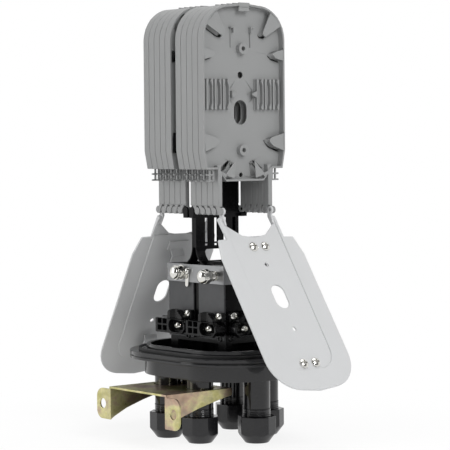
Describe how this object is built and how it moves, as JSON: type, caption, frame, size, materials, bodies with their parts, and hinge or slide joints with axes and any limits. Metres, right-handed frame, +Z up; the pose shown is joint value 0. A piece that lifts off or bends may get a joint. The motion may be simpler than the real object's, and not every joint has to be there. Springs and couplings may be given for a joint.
{
  "type": "opened splice closure",
  "caption": "Opened upright splice closure: oval base with gland ports, frame, hinged splice trays and two hinged covers, with a wall bracket.",
  "frame": {"origin": "on the upright axis of the base, in the plane of the gland nuts' ends that it stands on", "axes": "+Z up; X across the trays, with the wall bracket toward -X; the front tray group faces -Y"},
  "size_m": [0.172, 0.2991, 0.4305],
  "materials": {
    "black_gloss": "glossy moulded",
    "black_satin": "satin moulded",
    "frame_black": "black powder coat",
    "panel_grey": "fine matt",
    "tray_grey": "satin moulded",
    "holder_grey": "satin moulded",
    "cover_grey": "satin moulded",
    "steel": "satin",
    "zinc_yellow": "zinc passivated",
    "screw_steel": "bright",
    "rubber": "matt"
  },
  "bodies": {
    "closure": {"base": "black_gloss", "dome_seal": "rubber", "gland_seals": "rubber", "pressure_rings": "black_satin", "wall_bracket": "zinc_yellow", "bracket_bolts": "zinc_yellow", "frame_plate_front": "frame_black", "frame_plate_rear": "frame_black", "lower_box": "black_satin", "side_panels": "panel_grey", "strap": "steel", "earth_studs": "steel", "strap_fasteners": "screw_steel", "clamp_bodies": "black_satin", "clamp_jaws": "black_satin", "clamp_screws": "screw_steel"},
    "gland_nut_1": {"gland_nut_1": "black_gloss"},
    "gland_nut_2": {"gland_nut_2": "black_gloss"},
    "gland_nut_3": {"gland_nut_3": "black_gloss"},
    "gland_nut_4": {"gland_nut_4": "black_gloss"},
    "gland_nut_5": {"gland_nut_5": "black_gloss"},
    "gland_nut_6": {"gland_nut_6": "black_gloss"},
    "tray_front_1": {"tray_front_1": "tray_grey", "holders_front_1": "holder_grey"},
    "tray_front_2": {"tray_front_2": "tray_grey", "holders_front_2": "holder_grey"},
    "tray_front_3": {"tray_front_3": "tray_grey", "holders_front_3": "holder_grey"},
    "tray_front_4": {"tray_front_4": "tray_grey", "holders_front_4": "holder_grey"},
    "tray_front_5": {"tray_front_5": "tray_grey", "holders_front_5": "holder_grey"},
    "cover_front": {"cover_front": "cover_grey", "clips_front": "cover_grey", "cover_screws_front": "screw_steel"},
    "tray_rear_1": {"tray_rear_1": "tray_grey", "holders_rear_1": "holder_grey"},
    "tray_rear_2": {"tray_rear_2": "tray_grey", "holders_rear_2": "holder_grey"},
    "tray_rear_3": {"tray_rear_3": "tray_grey", "holders_rear_3": "holder_grey"},
    "tray_rear_4": {"tray_rear_4": "tray_grey", "holders_rear_4": "holder_grey"},
    "tray_rear_5": {"tray_rear_5": "tray_grey", "holders_rear_5": "holder_grey"},
    "cover_rear": {"cover_rear": "cover_grey", "clips_rear": "cover_grey", "cover_screws_rear": "screw_steel"}
  },
  "joints": [
    {"name": "gland_nut_1_turn", "type": "hinge", "parent": "closure", "child": "gland_nut_1", "pos_m": [-0.042, -0.0255, 0.013], "axis": [0, 0, 1], "continuous": true},
    {"name": "gland_nut_2_turn", "type": "hinge", "parent": "closure", "child": "gland_nut_2", "pos_m": [0, -0.062, 0.013], "axis": [0, 0, 1], "continuous": true},
    {"name": "gland_nut_3_turn", "type": "hinge", "parent": "closure", "child": "gland_nut_3", "pos_m": [0.042, -0.0255, 0.013], "axis": [0, 0, 1], "continuous": true},
    {"name": "gland_nut_4_turn", "type": "hinge", "parent": "closure", "child": "gland_nut_4", "pos_m": [0.042, 0.0255, 0.013], "axis": [0, 0, 1], "continuous": true},
    {"name": "gland_nut_5_turn", "type": "hinge", "parent": "closure", "child": "gland_nut_5", "pos_m": [0, 0.062, 0.013], "axis": [0, 0, 1], "continuous": true},
    {"name": "gland_nut_6_turn", "type": "hinge", "parent": "closure", "child": "gland_nut_6", "pos_m": [-0.042, 0.0255, 0.013], "axis": [0, 0, 1], "continuous": true},
    {"name": "tray_front_1_hinge", "type": "hinge", "parent": "closure", "child": "tray_front_1", "pos_m": [0, -0.005, 0.227], "axis": [1, 0, 0], "range_deg": [0, 8]},
    {"name": "tray_front_2_hinge", "type": "hinge", "parent": "tray_front_1", "child": "tray_front_2", "pos_m": [0, -0.0138, 0.227], "axis": [1, 0, 0], "range_deg": [0, 8]},
    {"name": "tray_front_3_hinge", "type": "hinge", "parent": "tray_front_2", "child": "tray_front_3", "pos_m": [0, -0.0226, 0.227], "axis": [1, 0, 0], "range_deg": [0, 8]},
    {"name": "tray_front_4_hinge", "type": "hinge", "parent": "tray_front_3", "child": "tray_front_4", "pos_m": [0, -0.0314, 0.227], "axis": [1, 0, 0], "range_deg": [0, 8]},
    {"name": "tray_front_5_hinge", "type": "hinge", "parent": "tray_front_4", "child": "tray_front_5", "pos_m": [0, -0.0402, 0.227], "axis": [1, 0, 0], "range_deg": [0, 8]},
    {"name": "cover_front_hinge", "type": "hinge", "parent": "tray_front_5", "child": "cover_front", "pos_m": [0, -0.049, 0.227], "axis": [-1, 0, 0], "range_deg": [0, 146]},
    {"name": "tray_rear_1_hinge", "type": "hinge", "parent": "closure", "child": "tray_rear_1", "pos_m": [0, 0.005, 0.227], "axis": [-1, 0, 0], "range_deg": [0, 4]},
    {"name": "tray_rear_2_hinge", "type": "hinge", "parent": "tray_rear_1", "child": "tray_rear_2", "pos_m": [0, 0.0138, 0.227], "axis": [-1, 0, 0], "range_deg": [0, 4]},
    {"name": "tray_rear_3_hinge", "type": "hinge", "parent": "tray_rear_2", "child": "tray_rear_3", "pos_m": [0, 0.0226, 0.227], "axis": [-1, 0, 0], "range_deg": [0, 4]},
    {"name": "tray_rear_4_hinge", "type": "hinge", "parent": "tray_rear_3", "child": "tray_rear_4", "pos_m": [0, 0.0314, 0.227], "axis": [-1, 0, 0], "range_deg": [0, 4]},
    {"name": "tray_rear_5_hinge", "type": "hinge", "parent": "tray_rear_4", "child": "tray_rear_5", "pos_m": [0, 0.0402, 0.227], "axis": [-1, 0, 0], "range_deg": [0, 4]},
    {"name": "cover_rear_hinge", "type": "hinge", "parent": "tray_rear_5", "child": "cover_rear", "pos_m": [0, 0.049, 0.227], "axis": [1, 0, 0], "range_deg": [0, 151.5]}
  ]
}
